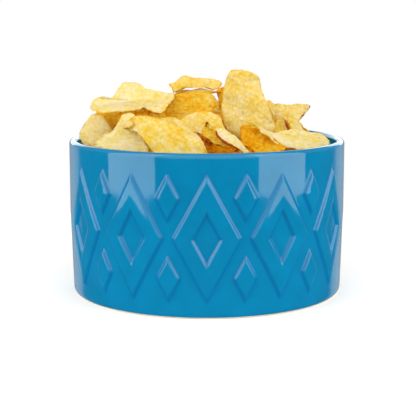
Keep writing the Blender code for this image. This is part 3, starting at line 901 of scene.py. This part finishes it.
def blistered(tree, given, flat, lift):
    """The lift with domes added, over some of a pattern's cells."""
    cells = bubbles(tree, flat, maths(tree, "DIVIDE", 1.0, given["Blister Width"]), 0.3)
    dome = smoothstep(tree, cells.outputs["Distance"], BLISTER_FOOT, BLISTER_TOP,
                      0.0, given["Blister Height"])
    pick = add(tree, "ShaderNodeSeparateXYZ", inputs={0: cells.outputs["Color"]})
    chosen = smoothstep(tree, pick.outputs["X"], *BLISTER_RARITY)
    return maths(tree, "MULTIPLY_ADD", dome, chosen, lift)


def closed_slices(tree, sheet, thickness, rim):
    """Both faces of each sheet, half the thickness to each side, joined round a thinner rim."""
    held = store(tree, sheet, "out", "FLOAT_VECTOR", add(tree, "GeometryNodeInputNormal"))
    raised = add(tree, "GeometryNodeExtrudeMesh", {"mode": "FACES"},
                 {"Mesh": held, "Offset Scale": 0.0, "Individual": False})
    under = add(tree, "GeometryNodeFlipFaces", inputs={"Mesh": held})
    both = add(tree, "GeometryNodeJoinGeometry", inputs={"Geometry": raised.outputs["Mesh"]})
    tree.links.new(under.outputs[0], both.inputs["Geometry"])
    side = add(tree, "GeometryNodeSwitch", {"input_type": "FLOAT"},
               {"Switch": raised.outputs["Top"], "False": -0.5, "True": 0.5})
    thin = smoothstep(tree, rim, RIM_START, 1.0, 1.0, RIM_THICKNESS)
    half = maths(tree, "MULTIPLY", maths(tree, "MULTIPLY", side, thickness), thin)
    offset = vector_maths(tree, "SCALE", {0: stored(tree, "out", "FLOAT_VECTOR"), "Scale": half})
    return add(tree, "GeometryNodeMergeByDistance",
               inputs={"Geometry": shifted(tree, both, offset), "Distance": SEAM_MERGE})


def fried_tree():
    """Turns open sheets into fried slices: ruffled, blistered and closed to a thickness."""
    kinds = {**dict.fromkeys(FRYING, "Float"), "Slice": "Material"}
    tree, given = new_tree("fried_slices", kinds)
    flat = stored(tree, "flat", "FLOAT_VECTOR")
    rim = stored(tree, "rim", "FLOAT")
    lift = blistered(tree, given, flat, ruffled(tree, given, flat, rim))
    offset = vector_maths(tree, "SCALE", {0: add(tree, "GeometryNodeInputNormal"), "Scale": lift})
    # Kept for the slice's material, which paints shade into the hollows from it.
    marked = store(tree, given["Geometry"], "lift", "FLOAT", maths(tree, "DIVIDE", lift, MM))
    shaped = shifted(tree, marked, offset)
    end_tree(tree, closed_slices(tree, shaped, given["Thickness"], rim), (given["Slice"], True))
    return tree


def uneven(index):
    """A value from -1 to 1 that jumps about evenly from one index to the next."""
    return 2 * (index * GOLDEN_STEP % 1) - 1


def oval(length, width, factors, spin=0):
    """An outline round an ellipse, scaled by the factors at equal angles and turned by spin."""
    points = []
    for index, factor in enumerate(factors):
        angle = 2 * math.pi * index / len(factors)
        point = Vector((length / 2 * factor * math.cos(angle),
                        width / 2 * factor * math.sin(angle)))
        point.rotate(Matrix.Rotation(math.radians(spin), 2))
        points.append(tuple(point))
    return points


def leaning_crisp(ring, index, name, seed):
    """A crisp of a ring, leaning outwards, with a size and a turn of its own."""
    odd = uneven(seed)
    azimuth = ring.first + (ring.last - ring.first) * index / (ring.count - 1)
    angle = math.radians(azimuth)
    height = ring.height + HEIGHT_SPREAD * odd
    centre = (ring.radius * math.cos(angle), ring.radius * math.sin(angle), height)
    length, width = ring.size[0] * (1 + SIZE_SPREAD * odd), ring.size[1] * (1 - SIZE_SPREAD * odd)
    outline = oval(length, width, LEANING_OUTLINE, SPIN_SPREAD * odd)
    turn = (ring.lean + LEAN_SPREAD * odd, azimuth + 90 + TURN_SPREAD * uneven(3 * index), 0)
    bends = (LEANING_BENDS[0] - BEND_SPREAD * odd, LEANING_BENDS[1])
    tone = LEANING_TONE + TONE_SPREAD * uneven(seed + 2)
    return Crisp(name, centre, turn, outline, bends, tone=tone)


def leaning_crisps():
    """The crisps between the front ones and those of the rings."""
    crisps = list(CRISPS_BETWEEN)
    for number, ring in enumerate(LEANING_RINGS):
        for index in range(ring.count):
            name = f"leaning_{number}_{index}"
            crisps.append(leaning_crisp(ring, index, name, index + 5 * number + 1))
    return crisps


def spare_crisp(number):
    """One kind of loose crisp, lying flat at the origin, to be strewn under the others."""
    odd, even = uneven(number + 1), uneven(3 * number + 2)
    factors = [1 + SPARE_UNEVENNESS * uneven(7 * number + corner)
               for corner in range(SPARE_CORNERS)]
    outline = oval(SPARE_SIZE[0] + SPARE_SPREAD[0] * odd, SPARE_SIZE[1] + SPARE_SPREAD[1] * even,
                   factors)
    bends = (SPARE_BENDS[0] * even, SPARE_BENDS[1] * odd)
    tone = SPARE_TONE + TONE_SPREAD * even
    return Crisp(f"spare_{number}", (0, 0, 0), (0, 0, 0), outline, bends, tone=tone)


def spare_crisps(fried, frying):
    """A collection with a crisp of each loose kind."""
    spares = bpy.data.collections.new("spare_crisps")
    bpy.context.scene.collection.children.link(spares)
    for number in range(SPARE_KINDS):
        spare = sheets(f"spare_{number}", [spare_crisp(number)], CELLS_OF_SPARE,
                       FIRST_SPARE + number, in_bowl=False)
        grow(spare, fried, frying)
        bpy.context.scene.collection.objects.unlink(spare)
        spares.objects.link(spare)
    return spares


def core_profile():
    """The core's crown, falling from the middle to the wall, and its plain underside."""
    profile = []
    for step in range(CORE_RINGS + 1):
        fall = math.cos(math.pi / 2 * step / CORE_RINGS) ** 2
        height = CORE_SIDE + (CORE_CROWN - CORE_SIDE) * fall
        profile.append((CORE_RADIUS * step / CORE_RINGS, height))
    return profile + [(CORE_RADIUS, CORE_BOTTOM), (0, CORE_BOTTOM)]


def core_tree():
    """Roughens the core into a bed of broken crisps."""
    tree, given = new_tree("broken_bed", {"Height": "Float", "Scale": "Float", "Bed": "Material"})
    lumps = noise(tree, add(tree, "GeometryNodeInputPosition"), given["Scale"], 4.0)
    lift = maths(tree, "MULTIPLY", maths(tree, "SUBTRACT", lumps, 0.5), given["Height"])
    shaped = shifted(tree, given["Geometry"], combined(tree, z=lift))
    end_tree(tree, shaped, (given["Bed"], True))
    return tree


def random_turn(tree, upright, tilt, seed):
    """The upright turned by any angle about itself and tilted by up to the tilt each way."""
    tilt_back = maths(tree, "MULTIPLY", tilt, -1.0)
    low = combined(tree, tilt_back, tilt_back, -math.pi)
    high = combined(tree, tilt, tilt, math.pi)
    spin = add(tree, "FunctionNodeRandomValue", {"data_type": "FLOAT_VECTOR"},
               {"Min": low, "Max": high, "Seed": seed})
    loose = add(tree, "FunctionNodeEulerToRotation", inputs={"Euler": spin})
    return add(tree, "FunctionNodeRotateRotation", {"rotation_space": "LOCAL"},
               {"Rotation": upright, "Rotate By": loose})


def within_wall(tree, geometry):
    """The geometry's points drawn in where they would pass through the bowl's wall."""
    place = add(tree, "GeometryNodeInputPosition")
    level = vector_maths(tree, "MULTIPLY", {0: place, 1: (1, 1, 0)})
    reach = vector_maths(tree, "LENGTH", {0: level}).outputs["Value"]
    share = maths(tree, "MINIMUM", maths(tree, "DIVIDE", HEAP_RADIUS * MM, reach), 1.0)
    pull = combined(tree, share, share, 1.0)
    inside = vector_maths(tree, "MULTIPLY", {0: place, 1: pull})
    return add(tree, "GeometryNodeSetPosition", inputs={"Geometry": geometry, "Position": inside})


def strewn_tree():
    """Strews loose crisps over a surface, lying along it at random turns and tilts."""
    tree, given = new_tree("strewn_crisps", {
        "Crisps": "Collection", "Spacing": "Float", "Tilt": "Float", "Lift": "Float",
        "Seed": "Int", "Slice": "Material"})
    spots = add(tree, "GeometryNodeDistributePointsOnFaces", {"distribute_method": "POISSON"},
                {"Mesh": given["Geometry"], "Distance Min": given["Spacing"],
                 "Density Max": STREWN_DENSITY, "Seed": given["Seed"]})
    kinds = add(tree, "GeometryNodeCollectionInfo", inputs={
        "Collection": given["Crisps"], "Separate Children": True, "Reset Children": True})
    turn = random_turn(tree, spots.outputs["Rotation"], given["Tilt"], given["Seed"])
    smallest, largest = STREWN_SIZES
    size = add(tree, "FunctionNodeRandomValue", {"data_type": "FLOAT"},
               {"Min": smallest, "Max": largest, "Seed": given["Seed"]})
    strewn = add(tree, "GeometryNodeInstanceOnPoints", inputs={
        "Points": spots.outputs["Points"], "Instance": kinds, "Pick Instance": True,
        "Rotation": turn, "Scale": size})
    raised = add(tree, "GeometryNodeTranslateInstances", inputs={
        "Instances": strewn, "Translation": combined(tree, z=given["Lift"]), "Local Space": False})
    real = add(tree, "GeometryNodeRealizeInstances", inputs={"Geometry": raised})
    end_tree(tree, within_wall(tree, real), (given["Slice"], True))
    return tree


def in_heap(piece):
    """Says that a piece stands for the heap."""
    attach(piece, BODY)
    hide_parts("crisps_heap")


def build_heap():
    slice_material = new_material("fried_potato_slice", fried_potato)
    fried = fried_tree()
    frying = {**FRYING, "Slice": slice_material}
    groups = (
        ("crisps_left", CRISPS_LEFT, CELLS_OF_PLACED, 0),
        ("crisps_right", CRISPS_RIGHT, CELLS_OF_PLACED, 20),
        ("crisps_leaning", leaning_crisps(), CELLS_OF_LEANING, 40),
    )
    for name, crisps, cells, first_number in groups:
        in_heap(grow(sheets(name, crisps, cells, first_number), fried, frying))
    core = keep_shape(turned("crisps_core", core_profile(), CORE_STEPS))
    spares = spare_crisps(fried, frying)
    strewn = new_object("crisps_beneath", core.data.copy())
    grow(strewn, strewn_tree(), {**STREWING, "Crisps": spares, "Slice": slice_material})
    for spare in list(spares.objects):
        bpy.data.objects.remove(spare, do_unlink=True)
    bpy.data.collections.remove(spares)
    grow(core, core_tree(), {"Height": LUMP_HEIGHT, "Scale": LUMP_SCALE,
                             "Bed": new_material("broken_potato", core_potato)})
    in_heap(strewn)
    in_heap(core)


# The stage


def build_floor():
    """The card. It is kept out of reflections, as its edge would show in the bowl's wall."""
    mesh = bpy.data.meshes.new("floor")
    card = bmesh.new()
    bmesh.ops.create_circle(card, cap_ends=True, segments=CARD_STEPS, radius=CARD_RADIUS)
    bmesh.ops.translate(card, vec=(0, 0, -CARD_DROP), verts=card.verts)
    card.to_mesh(mesh)
    card.free()
    floor = new_object("floor", mesh)
    mesh.materials.append(new_material("white_card", white_card))
    floor.visible_glossy = False


def build_world():
    """White to the camera, and to the bowl a dark ground that pales towards the sides and sky."""
    world = bpy.data.worlds.new("studio")
    bpy.context.scene.world = world
    world.use_nodes = True
    tree = world.node_tree
    tree.nodes.clear()
    path = add(tree, "ShaderNodeLightPath")
    around = add(tree, "ShaderNodeTexCoord").outputs["Generated"]
    way = add(tree, "ShaderNodeSeparateXYZ", inputs={0: around})
    back, upward = way.outputs["Y"], way.outputs["Z"]
    ground = smoothstep(tree, back, *ASIDE_STEP, DARK_BELOW, PALE_ASIDE)
    ground = smoothstep(tree, back, *BEHIND_STEP, ground, PALE_BEHIND)
    all_round = smoothstep(tree, upward, *SKYLINE, ground, PALE_ABOVE)
    dim = add(tree, "ShaderNodeBackground", inputs={"Color": linear(WHITE), "Strength": all_round})
    white = add(tree, "ShaderNodeBackground", inputs={"Color": linear(WHITE), "Strength": 1.0})
    seen = add(tree, "ShaderNodeMixShader",
               inputs={0: path.outputs["Is Camera Ray"], 1: dim, 2: white})
    add(tree, "ShaderNodeOutputWorld", inputs={"Surface": seen})
    bpy.context.scene.view_settings.view_transform = "Standard"


def add_light(name, place, target, size, brightness):
    """A flat panel of light that faces a target. Its brightness is what a mirror of it shows."""
    light = bpy.data.lights.new(name, "AREA")
    light.shape = "RECTANGLE"
    light.size, light.size_y = size
    light.energy = brightness * math.pi * light.size * light.size_y
    obj = new_object(name, light)
    obj.location = place
    obj.rotation_euler = (Vector(target) - Vector(place)).to_track_quat("-Z", "Y").to_euler()
    obj.visible_camera = False


def build_camera():
    data = bpy.data.cameras.new("camera")
    data.lens = CAMERA_LENS
    data.sensor_width = CAMERA_SENSOR
    camera = new_object("camera", data)
    camera.location = CAMERA_PLACE
    camera.rotation_euler = (math.pi / 2 - CAMERA_TILT, 0, 0)
    bpy.context.scene.camera = camera


def main():
    build_camera()
    build_floor()
    build_world()
    for light in LIGHTS:
        add_light(*light)
    build_bowl()
    build_heap()


main()
